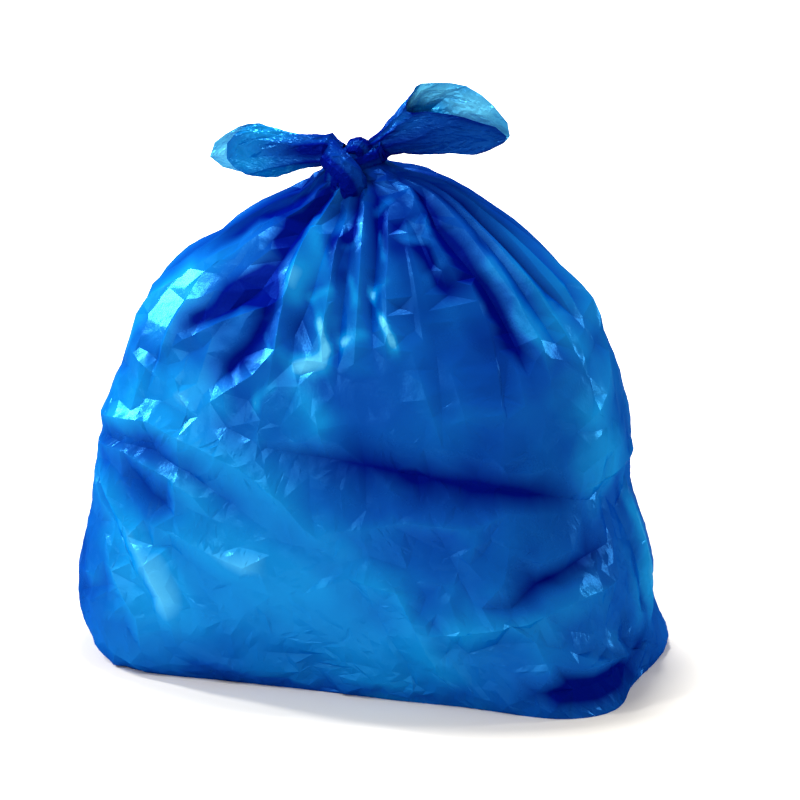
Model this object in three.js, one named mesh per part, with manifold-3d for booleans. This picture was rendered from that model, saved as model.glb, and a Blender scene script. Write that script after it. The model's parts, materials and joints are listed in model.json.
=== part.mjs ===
// A filled garbage bag of thin blue film, standing on the floor, with its neck gathered and its two
// ears tied in a half knot. The whole bag is one piece of film, so it is one solid: the sagging body
// with its gathers and creases, the strands of the knot, and the two ears with their open mouths.
// Millimetres, +Z up, the floor at Z = 0, the bag's width along X and its front towards -Y.

import * as THREE from "three";
import { LoftGeometry } from "three/addons/geometries/LoftGeometry.js";
import { mergeVertices } from "three/addons/utils/BufferGeometryUtils.js";
import Module from "manifold-3d";

const wasm = await Module();
wasm.setup();

// Driving sizes of the body. The reaches are measured from the knot's plumb line to the widest place.
const knotHeight = 447;
const leftReach = 251;
const rightReach = 258;
const frontReach = 163;
const backReach = 158;

// The body, level by level: the height as a percentage of the knot's, how far the middle has shifted
// sideways (mm), how far the film reaches to each side of that middle as a percentage of the reaches
// above, and the squareness of the outline (2 is an ellipse).
const underside = { up: -1.1, shift: 0, left: 86, right: 99.5, front: 87.7, back: 86, squareness: 4.6 };
const hem = { up: 2.7, shift: 0, left: 90, right: 99.5, front: 91.4, back: 91.8, squareness: 4.6 };
const belly = { up: 11.2, shift: 0, left: 99.6, right: 96.5, front: 97, back: 98.7, squareness: 3.6 };
const bulge = { up: 20.6, shift: 0, left: 100, right: 95, front: 100, back: 100, squareness: 3.1 };
const crease = { up: 29, shift: 0, left: 95.2, right: 91.5, front: 99.4, back: 99.4, squareness: 2.9 };
const waist = { up: 37.6, shift: 0, left: 95.6, right: 88.4, front: 98, back: 97.5, squareness: 2.7 };
const ribs = { up: 47.4, shift: -1, left: 94.4, right: 89.5, front: 94.5, back: 92.4, squareness: 2.6 };
const chest = { up: 60, shift: -4, left: 85.3, right: 87.2, front: 84.7, back: 82.3, squareness: 2.4 };
const shoulder = { up: 72.7, shift: -7, left: 74.5, right: 79, front: 68.7, back: 67, squareness: 2.2 };
const throat = { up: 83.9, shift: -11, left: 49.4, right: 64.3, front: 49, back: 53, squareness: 2.1 };
const nape = { up: 91.7, shift: -14, left: 25.5, right: 47.3, front: 28.2, back: 41.8, squareness: 2 };
const collar = { up: 96.2, shift: -14, left: 14.7, right: 33.7, front: 16.6, back: 31.6, squareness: 2 };
const neck = { up: 99.1, shift: -12, left: 8.8, right: 16.3, front: 11, back: 19, squareness: 2 };
const tie = { up: 101.1, shift: -11, left: 4.8, right: 4.7, front: 6.1, back: 6.3, squareness: 2 };
const levels = [
  underside, hem, belly, bulge, crease, waist, ribs, chest, shoulder, throat, nape, collar, neck, tie,
];

// The gathers that run out of the knot where no fold below is placed by hand.
const gatherCount = 26;
const gatherDepth = 8;
const gatherReach = 34; // percent of the knot's height
const gatherWidth = 24;
const gatherPinch = 5; // width of each gather where the knot holds it

const crestSoftness = 0.1; // how softly a fold turns over at its crest, as a share of its width
const foldPinch = 0.7; // 1 where a fold is as shallow as it is narrow, and 0 where it keeps its depth

// The crumple that covers all of the film.
const crumpleDepth = 1.1;
const crumpleSize = 74;

// The half knot. Every strand is a rope of film, and its path is given in half widths of the knot
// from the knot's middle. The wrap comes from the left ear and crosses the front, the comeback leaves
// the right ear and goes round the back, the drop runs from the right ear down to the gathers, and
// the nub is the bight that stands up between the ears.
const knotHalf = 21;
const knotShift = -11;
const wrap = {
  radius: 10,
  path: [
    [-1.5, 0, 0.5], [-0.9, -0.35, 0.6], [-0.2, -0.72, 0.42], [0.48, -0.66, -0.15], [0.66, -0.1, -0.6],
    [0.2, 0.4, -0.8], [-0.2, 0.2, -1.15],
  ],
};
const comeback = {
  radius: 9,
  path: [
    [1.25, 0.3, 0.8], [0.8, 0.4, 0.4], [0.2, 0.6, 0.1], [-0.55, 0.42, 0], [-0.9, -0.15, -0.25],
    [-0.55, -0.62, -0.6], [0, -0.45, -0.9], [0.1, 0, -1.2],
  ],
};
const drop = {
  radius: 7.5,
  path: [[1.2, 0.3, 0.75], [1.05, 0.25, 0.1], [0.85, 0.2, -0.5], [0.6, 0.1, -1.1]],
};
const nub = {
  radius: 6.5,
  path: [[-0.3, 0.25, 0.3], [-0.08, 0.1, 0.85], [0.36, 0.05, 0.98], [0.58, 0.25, 0.4]],
};
const core = [0.75, 0.6, 0.85];
const strandPleats = 5;
const strandPleatDepth = 0.8;

// The ears, each a flattened pouch of film that fans out of the knot and is open at its far rim.
// root is where it leaves the knot, in the knot's half widths. rim gives how far the film reaches
// from there, going round the mouth from the upper fold by the back layer to the lower fold and home
// by the front layer. lean is how far the tip drifts to +Y.
const leftEar = {
  root: [-0.95, 0, 0.5], heading: 185, spread: 19, rim: [78, 95, 117, 84, 66, 73, 78, 76], pocket: 48,
  rootRadius: 12, thickness: 9, lean: -10, puckers: 5, puckerDepth: 2,
};
const rightEar = {
  root: [1.05, 0.3, 0.6], heading: 31, spread: 25, rim: [70, 84, 103, 119, 120, 106, 67, 45], pocket: 31,
  rootRadius: 8, thickness: 11, lean: 12, puckers: 6, puckerDepth: 2.2,
};
const earWall = 1.2;
const earStart = 2;
const mouthPinch = 0.45; // gap between an ear's layers at the mouth, as a share of its thickness
const pocketSwell = 2; // how far the pocket's floor swells towards the mouth

const shortestEdge = 0.02; // joins leave no edge shorter than this
const ringPoints = 104;
const closestPoints = 0.35; // share by which the body's points lie closer together at its front
const closestAngle = 285;
const bodyRings = 40;
const strandStepsPerPoint = 3;
const strandPoints = 10;
const earRings = 9;
const pocketRings = 4;
const earPoints = 26;

const film = new THREE.MeshStandardMaterial({ color: 0x0546b8, roughness: 0.28, metalness: 0 });
film.name = "blue_film";

// Folds that the contents and the knot press into the film. path lists angle round the bag (degrees,
// 0 at its right side, 270 at its front) and height (percent of the knot's). out is how far the crease
// stands proud of the film, or sinks into it when negative, and width tells how far it spreads at its
// two ends.
const frontGathers = [
  { path: [[244, 97], [224, 89], [218, 81], [210, 73], [192, 62]], out: 5, width: [5, 18] },
  { path: [[250, 98], [234, 90], [223, 80], [228, 73], [228, 64], [227, 59]], out: 7, width: [6, 24] },
  { path: [[256, 98], [246, 91], [250, 85], [249, 78], [242, 73], [230, 67]], out: -9, width: [6, 26] },
  { path: [[266, 98], [258, 90], [260, 80], [261, 73], [262, 68], [262, 52]], out: 10, width: [6, 16] },
  { path: [[272, 98], [268, 88], [267, 79], [265, 71]], out: -4, width: [5, 12] },
  { path: [[274, 98], [272, 86], [271, 72], [270, 65]], out: 5, width: [5, 15] },
  { path: [[278, 98], [276, 88], [274, 71], [274, 66]], out: -4, width: [5, 13] },
  { path: [[282, 98], [280, 88], [278, 70], [277, 64]], out: 5, width: [5, 15] },
  { path: [[289, 98], [285, 87], [282, 78], [282, 70]], out: -5, width: [5, 15] },
  { path: [[298, 98], [292, 91], [287, 81], [286, 73], [287, 67]], out: 5, width: [5, 15] },
  { path: [[304, 98], [298, 88], [298, 77]], out: 4, width: [5, 16] },
  { path: [[302, 90], [303, 82], [308, 78]], out: -5, width: [10, 22] },
  { path: [[316, 98], [309, 94], [309, 87], [310, 82]], out: 6, width: [5, 14] },
  { path: [[318, 98], [313, 91], [320, 81], [322, 73], [324, 62]], out: -9, width: [5, 15] },
  { path: [[326, 98], [326, 86], [330, 72], [330, 62]], out: 6, width: [5, 15] },
  { path: [[333, 98], [333, 90], [334, 78], [337, 67]], out: -4, width: [5, 14] },
  { path: [[340, 98], [338, 92], [338, 77], [346, 62]], out: 6, width: [5, 15] },
  { path: [[348, 98], [343, 91], [346, 80], [356, 68]], out: -7, width: [5, 16] },
  { path: [[356, 98], [352, 91], [354, 80], [356, 70]], out: 5, width: [5, 14] },
  { path: [[8, 98], [9, 90], [11, 82], [16, 73]], out: -6, width: [5, 16] },
];
const shoulderFolds = [
  { path: [[260, 77], [245, 72], [230, 65]], out: 5, width: [8, 14] },
  { path: [[255, 77], [255, 71], [252, 66], [246, 58]], out: -6, width: [8, 20] },
  { path: [[262, 68], [258, 63], [246, 55]], out: 6, width: [8, 16] },
  { path: [[3, 65], [352, 59], [338, 54]], out: 7, width: [8, 16] },
  { path: [[12, 44], [352, 43], [336, 42]], out: 5, width: [8, 14] },
];
const bellyFolds = [
  { path: [[264, 50], [284, 48], [300, 46], [326, 43], [356, 38]], out: -7, width: [14, 22] },
  { path: [[272, 35], [286, 38], [304, 37], [312, 40], [335, 39]], out: 5, width: [14, 20] },
  { path: [[196, 47], [232, 51], [252, 48], [262, 45], [268, 40], [274, 26]], out: 9, width: [12, 28] },
  { path: [[197, 44], [235, 46], [248, 43], [257, 39], [266, 34]], out: -6, width: [10, 20] },
  { path: [[198, 42], [226, 44], [242, 42], [250, 39], [256, 34]], out: 6, width: [8, 20] },
  { path: [[228, 41], [237, 37], [246, 35]], out: -6, width: [14, 20] },
  { path: [[236, 32], [250, 30], [261, 27], [268, 25]], out: 6, width: [7, 12] },
  { path: [[199, 40], [217, 35], [228, 30], [240, 24], [249, 17], [255, 8]], out: 6, width: [8, 20] },
  { path: [[203, 38], [218, 31], [232, 25], [244, 18], [250, 11]], out: -5, width: [8, 18] },
];
const hemFolds = [
  { path: [[226, 23], [234, 18], [244, 12], [246, 3]], out: 5, width: [8, 14] },
  { path: [[274, 26], [282, 24], [284, 16], [284, 4]], out: 6, width: [14, 20] },
  { path: [[286, 16], [296, 17], [314, 19], [334, 22], [358, 23]], out: 7, width: [12, 18] },
  { path: [[310, 22], [319, 26], [339, 29], [356, 30]], out: -8, width: [10, 18] },
  { path: [[314, 18], [316, 10], [314, 3]], out: 6, width: [8, 16] },
  { path: [[359, 23], [0, 14], [0, 6]], out: 5, width: [8, 14] },
  { path: [[308, 5], [330, 5], [356, 6]], out: -9, width: [12, 18] },
  { path: [[326, 8], [344, 8], [0, 7]], out: 6, width: [8, 12] },
  { path: [[4, 36], [6, 22], [4, 14], [0, 5]], out: 7, width: [10, 14] },
];
const backFolds = [
  { path: [[28, 52], [60, 43], [84, 27]], out: 7, width: [8, 26] },
  { path: [[160, 51], [120, 48], [78, 50], [40, 46]], out: -8, width: [14, 20] },
  { path: [[150, 39], [124, 27], [104, 9]], out: 7, width: [8, 24] },
  { path: [[58, 27], [82, 19], [120, 15]], out: -7, width: [10, 22] },
  { path: [[36, 21], [48, 12], [54, 3]], out: 8, width: [10, 18] },
  { path: [[140, 13], [128, 8], [120, 2]], out: -8, width: [10, 16] },
  { path: [[172, 43], [168, 27], [162, 10]], out: 9, width: [9, 14] },
  { path: [[100, 34], [72, 32], [48, 34]], out: 5, width: [8, 10] },
];

// Broad swellings where the contents push out, and hollows where the film is slack.
const swellings = [
  { angle: 326, up: 1, out: 24, spread: 56 },
  { angle: 236, up: 1, out: 12, spread: 60 },
  { angle: 200, up: 25, out: 5, spread: 80 },
  { angle: 214, up: 68, out: 6, spread: 56 },
  { angle: 262, up: 20, out: 5, spread: 90 },
  { angle: 292, up: 41, out: -7, spread: 74 },
  { angle: 330, up: 26, out: 8, spread: 70 },
  { angle: 345, up: 67, out: 8, spread: 52 },
  { angle: 60, up: 56, out: 7, spread: 80 },
  { angle: 96, up: 74, out: -6, spread: 60 },
  { angle: 120, up: 29, out: 8, spread: 90 },
  { angle: 150, up: 59, out: 6, spread: 64 },
];

const turn = Math.PI * 2;
const radians = (degrees) => (degrees / 360) * turn;
const smooth = (share) => THREE.MathUtils.smoothstep(share, 0, 1);

// A repeatable irregularity between -1 and 1 for the i-th copy of something.
const wobble = (i) => Math.sin(i * 12.9898 + 4.1) * Math.cos(i * 78.233);

// Curves through the levels, one for each measure, with its height along them. Each runs from 0 at the
// underside to 1 at the neck.
const upTheBag = (percent) => (percent / 100) * knotHeight;
const reaches = { left: leftReach, right: rightReach, front: frontReach, back: backReach };
const tracks = Object.fromEntries(
  ["shift", "left", "right", "front", "back", "squareness"].map((measure) => {
    const scale = measure in reaches ? reaches[measure] / 100 : 1;
    const points = levels.map((level) => new THREE.Vector2(upTheBag(level.up), level[measure] * scale));
    return [measure, new THREE.SplineCurve(points)];
  }),
);
const measureAt = (measure, t) => tracks[measure].getPoint(t).y;
const heightAt = (t) => tracks.shift.getPoint(t).x;

// The place on the levels' curves that lies at a height, found by halving.
function levelOf(height) {
  let low = 0;
  let high = 1;
  for (let i = 0; i < 24; i++) {
    const middle = (low + high) / 2;
    if (heightAt(middle) < height) low = middle;
    else high = middle;
  }
  return (low + high) / 2;
}

// The film before any fold: a rounded outline at each level, bulging differently to its four sides.
function smoothFilm(angle, t) {
  const across = Math.cos(angle);
  const along = Math.sin(angle);
  const power = 2 / measureAt("squareness", t);
  const reachX = measureAt(across > 0 ? "right" : "left", t);
  const reachY = measureAt(along > 0 ? "back" : "front", t);
  return new THREE.Vector3(
    measureAt("shift", t) + Math.sign(across) * reachX * Math.abs(across) ** power,
    Math.sign(along) * reachY * Math.abs(along) ** power,
    heightAt(t),
  );
}

function outwardAt(angle, t) {
  const step = 1e-3;
  const round = smoothFilm(angle + step, t).sub(smoothFilm(angle - step, t));
  const up = smoothFilm(angle, Math.min(t + step, 1)).sub(smoothFilm(angle, Math.max(t - step, 0)));
  return round.cross(up).normalize();
}

// A fold's path laid on the smooth film, taking the short way round the bag between its points.
function layOnFilm({ path, out, width }) {
  const pieces = 5;
  const points = [];
  for (let i = 0; i < path.length - 1; i++) {
    const [angle, up] = path[i];
    const [nextAngle, nextUp] = path[i + 1];
    const swing = THREE.MathUtils.euclideanModulo(nextAngle - angle + 180, 360) - 180;
    for (let k = i ? 1 : 0; k <= pieces; k++) {
      const share = k / pieces;
      const height = upTheBag(THREE.MathUtils.lerp(up, nextUp, share));
      points.push(smoothFilm(radians(angle + swing * share), levelOf(height)));
    }
  }
  return { points, out, width };
}

// How far a fold lifts the film at a point: a sharp crest along its path that fades to both sides and
// towards both ends.
function liftOf({ points, out, width }, point) {
  const segments = points.length - 1;
  const leadIn = 0.12;
  const leadOut = 0.3;
  const line = new THREE.Line3();
  const nearest = new THREE.Vector3();
  let best = Infinity;
  let place = 0;
  for (let i = 0; i < segments; i++) {
    line.set(points[i], points[i + 1]);
    const share = line.closestPointToPointParameter(point, true);
    const distance = line.at(share, nearest).distanceTo(point);
    if (distance < best) {
      best = distance;
      place = (i + share) / segments;
    }
  }
  const reach = THREE.MathUtils.lerp(width[0], width[1], place);
  if (best >= reach) return 0;
  const ends = Math.min(0.45 + smooth(place / leadIn) * 0.55, smooth((1 - place) / leadOut));
  const softness = reach * crestSoftness;
  const rounded = Math.hypot(best, softness) - softness;
  const depth = out * (reach / Math.max(...width)) ** foldPinch;
  return depth * ends * (1 - rounded / reach);
}

// Gathers round the back half of the neck, each a ridge with a valley beside it.
function backGathers() {
  const made = [];
  const pitch = 360 / gatherCount;
  for (let i = 0; i < Math.floor(gatherCount / 2); i++) {
    const angle = 4 + (i + 0.5) * pitch;
    const drift = 7 * wobble(i);
    const reach = gatherReach * (1 + 0.38 * wobble(i + 20));
    const depth = gatherDepth * (1 + 0.4 * wobble(i + 40));
    const fold = (offset, out) => ({
      path: [
        [angle + offset, neck.up],
        [angle + offset + drift / 2, neck.up - reach / 2],
        [angle + offset + drift, neck.up - reach],
      ],
      out,
      width: [gatherPinch, gatherWidth * (1 + 0.3 * wobble(i + 60))],
    });
    made.push(fold(0, depth), fold(pitch / 2, -depth * 0.9));
  }
  return made;
}

const placedFolds = [...frontGathers, ...shoulderFolds, ...bellyFolds, ...hemFolds, ...backFolds];
const folds = [...placedFolds, ...backGathers()].map(layOnFilm);
const swollen = swellings.map(({ angle, up, out, spread }) => ({
  centre: smoothFilm(radians(angle), levelOf(upTheBag(up))),
  out,
  spread,
}));

// Flat facets with straight creases between them, from three crossed triangle waves.
function crumpleAt(point) {
  const waves = [
    [0.62, 0.31, 0.72],
    [-0.55, 0.66, 0.51],
    [0.24, -0.71, -0.66],
  ];
  let total = 0;
  waves.forEach(([x, y, z], i) => {
    const phase = (point.x * x + point.y * y + point.z * z) / (crumpleSize * (1 + 0.27 * i)) + 0.31 * i;
    total += Math.abs(THREE.MathUtils.euclideanModulo(phase, 1) - 0.5) * 4 - 1;
  });
  return (crumpleDepth * total * 2) / waves.length;
}

// The film with its folds. Near the neck the knot holds it, so everything dies out there.
function foldedFilm(angle, t) {
  const point = smoothFilm(angle, t);
  const outward = outwardAt(angle, t);
  let lift = crumpleAt(point);
  for (const fold of folds) lift += liftOf(fold, point);
  for (const { centre, out, spread } of swollen) {
    lift += out * Math.exp(-((point.distanceTo(centre) / spread) ** 2));
  }
  const freedom = smooth((upTheBag(tie.up) - point.z) / upTheBag(tie.up - neck.up));
  return point.addScaledVector(outward, lift * freedom);
}

function ring(count, pointAt) {
  return Array.from({ length: count }, (_, i) => pointAt((i / count) * turn, i));
}

// The two closed ends of every loft are capped, so each is a solid.
function solidOf(geometry) {
  const bare = new THREE.BufferGeometry();
  bare.setAttribute("position", geometry.attributes.position);
  bare.setIndex(geometry.index);
  const merged = mergeVertices(bare, 1e-4);
  return new wasm.Manifold(
    new wasm.Mesh({
      numProp: 3,
      tolerance: shortestEdge,
      vertProperties: merged.attributes.position.array,
      triVerts: new Uint32Array(merged.index.array),
    }),
  );
}

const loft = (sections) => solidOf(new LoftGeometry(sections, { capStart: true, capEnd: true }));

// The body's top end is hidden in the knot.
function makeBody() {
  const crowded = (angle) => angle - closestPoints * Math.sin(angle - radians(closestAngle));
  const sections = Array.from({ length: bodyRings + 1 }, (_, j) => {
    const t = tracks.right.getUtoTmapping(j / bodyRings);
    return ring(ringPoints, (angle) => foldedFilm(crowded(angle), t));
  });
  return loft(sections);
}

const inKnot = ([x, y, z]) =>
  new THREE.Vector3(x, y, z).multiplyScalar(knotHalf).add(new THREE.Vector3(knotShift, 0, knotHeight));

function makeStrand({ radius, path }) {
  const outline = ring(strandPoints, (angle) => {
    const pleated = radius + strandPleatDepth * Math.cos(angle * strandPleats);
    return new THREE.Vector2(Math.cos(angle) * pleated, Math.sin(angle) * pleated);
  });
  const rope = new THREE.ExtrudeGeometry(new THREE.Shape(outline), {
    steps: path.length * strandStepsPerPoint,
    extrudePath: new THREE.CatmullRomCurve3(path.map(inKnot)),
    bevelEnabled: false,
  });
  return solidOf(rope);
}

// The film packed inside the knot, which leaves no gap between the strands' hidden faces.
function makeCore() {
  const [x, y, z] = core;
  const packed = new THREE.SphereGeometry(knotHalf, 16, 12).scale(x, y, z);
  return solidOf(packed.translate(knotShift, 0, knotHeight));
}

// One ear. Every section goes round the flattened pouch, out to the mouth and back in to the pocket's
// floor. across is 1 at the upper fold and -1 at the lower one, and depth is positive on the back
// layer. inset moves a section inwards, by the film's thickness.
function makeEar(side, ear) {
  const { heading, spread, rim, pocket, rootRadius, thickness, lean, puckers, puckerDepth } = ear;
  const root = inKnot(ear.root);
  const reaches = rim.map((reach) => new THREE.Vector3(reach, 0, 0));
  const rimCurve = new THREE.CatmullRomCurve3(reaches, true, "catmullrom");
  const rimAt = (angle) => rimCurve.getPoint(angle / turn).x;
  const longest = Math.max(...rim);

  const place = (angle, reach, inset) => {
    const across = Math.cos(angle);
    const depth = Math.sin(angle);
    const share = Math.min(reach / longest, 1);
    const fan = radians(heading + side * across * spread * smooth(0.25 + share * 2.2));
    const pucker = puckerDepth * Math.sin(puckers * angle + 1) * share;
    const swell = THREE.MathUtils.lerp(rootRadius, thickness, smooth(share * 2));
    const closing = THREE.MathUtils.lerp(1, mouthPinch, smooth(share * 2 - 1));
    const half = Math.max(swell * closing - inset, earWall / 2);
    const narrow = rootRadius * (1 - smooth(share * 2.5));
    const upward = across * (narrow - inset * Math.sign(narrow) - inset) * side;
    return new THREE.Vector3(
      root.x + Math.cos(fan) * reach - Math.sin(fan) * upward,
      root.y + depth * half + pucker * Math.abs(depth) + lean * share * share,
      root.z + Math.sin(fan) * reach + Math.cos(fan) * upward,
    );
  };
  const ringAt = (reachAt, inset) => ring(earPoints, (angle) => place(angle, reachAt(angle), inset));

  const sections = [];
  for (let j = 0; j <= earRings; j++) {
    const share = j / earRings;
    sections.push(ringAt((angle) => THREE.MathUtils.lerp(earStart, rimAt(angle), share), 0));
  }
  const mouthAt = (angle) => rimAt(angle) - earWall / 2;
  for (let j = 0; j <= pocketRings; j++) {
    const share = j / pocketRings;
    sections.push(ringAt((angle) => THREE.MathUtils.lerp(mouthAt(angle), pocket, share), earWall));
  }
  sections.push(ringAt(() => pocket + pocketSwell, earWall * 3));
  return loft(side < 0 ? sections : sections.map((section) => section.reverse()));
}

// The floor takes away what the slack underside would push through it, which leaves a flat face.
function floorBlock() {
  const depth = 40;
  const span = 2 * (leftReach + rightReach);
  return solidOf(new THREE.BoxGeometry(span, span, depth).translate(0, 0, -depth / 2));
}

function makeBag() {
  const strands = [wrap, comeback, drop, nub].map(makeStrand);
  const knot = strands.reduce((all, next) => all.add(next), makeCore());
  const ears = makeEar(1, rightEar).add(makeEar(-1, leftEar));
  const joined = makeBody().subtract(floorBlock()).add(knot).add(ears);
  const { vertProperties, triVerts } = joined.getMesh();
  const geometry = new THREE.BufferGeometry();
  geometry.setAttribute("position", new THREE.BufferAttribute(vertProperties, 3));
  geometry.setIndex(new THREE.BufferAttribute(triVerts, 1));
  return geometry;
}

// The frame's origin is on the floor, under the middle of the bag's outline.
const geometry = makeBag();
geometry.computeBoundingBox();
const { min, max } = geometry.boundingBox;
geometry.translate(-(min.x + max.x) / 2, -(min.y + max.y) / 2, 0);
geometry.computeVertexNormals();

const garbageBag = new THREE.Mesh(geometry, film);
garbageBag.name = "garbage_bag";

const bag = new THREE.Group();
bag.name = "tied_garbage_bag";
bag.add(garbageBag);

export default bag;
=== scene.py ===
import json
import math
import bpy
import numpy as np
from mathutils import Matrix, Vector
from mathutils.geometry import delaunay_2d_cdt

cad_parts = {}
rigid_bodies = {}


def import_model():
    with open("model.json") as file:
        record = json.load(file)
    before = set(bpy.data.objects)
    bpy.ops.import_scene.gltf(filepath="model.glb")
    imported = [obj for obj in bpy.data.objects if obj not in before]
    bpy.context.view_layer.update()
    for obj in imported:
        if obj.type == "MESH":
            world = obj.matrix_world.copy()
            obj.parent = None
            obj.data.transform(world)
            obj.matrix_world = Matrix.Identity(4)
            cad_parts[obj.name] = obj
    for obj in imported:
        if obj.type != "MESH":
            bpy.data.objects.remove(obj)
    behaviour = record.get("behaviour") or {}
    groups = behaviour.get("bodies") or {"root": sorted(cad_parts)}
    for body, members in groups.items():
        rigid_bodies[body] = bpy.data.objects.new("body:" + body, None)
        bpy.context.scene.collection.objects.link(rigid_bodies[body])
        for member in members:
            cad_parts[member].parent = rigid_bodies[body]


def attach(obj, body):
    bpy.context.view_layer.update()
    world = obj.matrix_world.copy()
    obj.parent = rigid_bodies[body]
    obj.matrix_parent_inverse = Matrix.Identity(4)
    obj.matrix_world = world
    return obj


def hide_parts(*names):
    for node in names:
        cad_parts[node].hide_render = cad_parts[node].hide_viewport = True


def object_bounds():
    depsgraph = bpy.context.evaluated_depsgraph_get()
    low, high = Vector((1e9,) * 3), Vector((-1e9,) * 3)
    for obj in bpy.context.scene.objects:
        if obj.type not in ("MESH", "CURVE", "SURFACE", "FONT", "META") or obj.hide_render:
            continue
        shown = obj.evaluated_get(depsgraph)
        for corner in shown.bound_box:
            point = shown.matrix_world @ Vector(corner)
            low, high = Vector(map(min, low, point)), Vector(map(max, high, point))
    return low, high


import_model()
cadLow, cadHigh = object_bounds()
bpy.ops.object.select_all(action="DESELECT")
mm = 0.001  # m
turn = 2 * math.pi  # radians

# the camera stands where the photographer did, far off with a long lens
photoView = {
    "azimuth": 20,  # degrees
    "elevation": 17,
    "lens": 400,  # mm
    "sensor": 36,
    "widthAtBag": 0.72,  # m
    "picture": 800,  # px
    "originPixel": (377, 645),  # where the frame's origin lies in the picture
    "farthest": 60,  # m
}


def viewAxes(view):
    a, e = math.radians(view["azimuth"]), math.radians(view["elevation"])
    right = Vector((math.cos(a), math.sin(a), 0))
    back = Vector((math.sin(a) * math.cos(e), -math.cos(a) * math.cos(e), math.sin(e)))
    return right, back.cross(right), back


def aimAndPlace(view):
    right, up, back = viewAxes(view)
    pixel = view["widthAtBag"] / view["picture"]
    half = view["picture"] / 2
    column, row = view["originPixel"]
    aim = right * (half - column) * pixel + up * (row - half) * pixel
    distance = view["widthAtBag"] * view["lens"] / view["sensor"]
    return aim, aim + back * distance


def aimAt(thing, aim):
    thing.rotation_mode = "QUATERNION"
    thing.rotation_quaternion = (Vector(aim) - thing.location).to_track_quat("-Z", "Y")


def makeCamera(view):
    aim, place = aimAndPlace(view)
    bpy.ops.object.camera_add(location=place)
    camera = bpy.context.object
    camera.name = "photoCamera"
    aimAt(camera, aim)
    camera.data.lens = view["lens"]
    camera.data.sensor_width = view["sensor"]
    camera.data.clip_end = view["farthest"]
    bpy.context.scene.camera = camera


# the filled body: mm and degrees, with the levels in percent of the height and of the four reaches
bodyForm = {
    "height": 447,  # mm, up to the knot
    "left": 251,  # mm, from the knot's plumb line to the widest place
    "right": 258,
    "front": 163,
    "back": 158,
    # height, sideways shift in mm, reach to left, right, front and back, squareness of the outline
    "levels": [
        (-1.1, 0, 86, 99.5, 87.7, 86, 4.6),
        (2.7, 0, 90, 99.5, 91.4, 91.8, 4.6),
        (11.2, 0, 99.6, 96.5, 97, 98.7, 3.6),
        (20.6, 0, 100, 95, 100, 100, 3.1),
        (29, 0, 95.2, 91.5, 99.4, 99.4, 2.9),
        (37.6, 0, 95.6, 88.4, 98, 97.5, 2.7),
        (47.4, -1, 94.4, 89.5, 94.5, 92.4, 2.6),
        (60, -4, 85.3, 87.2, 84.7, 82.3, 2.4),
        (72.7, -7, 74.5, 79, 68.7, 67, 2.2),
        (83.9, -11, 49.4, 64.3, 49, 53, 2.1),
        (91.7, -14, 25.5, 47.3, 28.2, 41.8, 2),
        (96.2, -14, 14.7, 33.7, 16.6, 31.6, 2),
        (99.1, -12, 8.8, 16.3, 11, 19, 2),
        (101.1, -11, 4.8, 4.7, 6.1, 6.3, 2),
    ],
    "heldFrom": 99.1,  # the knot holds the film above this height
    "heldAt": 101.1,
    "foldPinch": 0.7,  # 1 where a fold is as shallow as it is narrow, 0 where it keeps its depth
    "foldStart": 0.45,  # share of its rise that a fold has at its first point
    "foldStartFade": 0.12,  # share of its path along which it gains the rest
    "foldEndFade": 0.3,  # and loses it again
    "pathPieces": 5,  # straight pieces between two points of a path
    "crumpleDepth": 1.1,
    "crumpleSize": 74,
    "crumpleGrowth": 0.27,  # how much larger each next wave is
    "crumpleShift": 0.31,
    "crumpleWays": [(0.62, 0.31, 0.72), (-0.55, 0.66, 0.51), (0.24, -0.71, -0.66)],
    "darkestDepth": 10,  # how deep a valley lies when its painted shade is darkest
    "outlineRound": 240,  # points round the bag, and up it, that its outline is measured with
    "outlineUp": 120,
}

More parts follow.
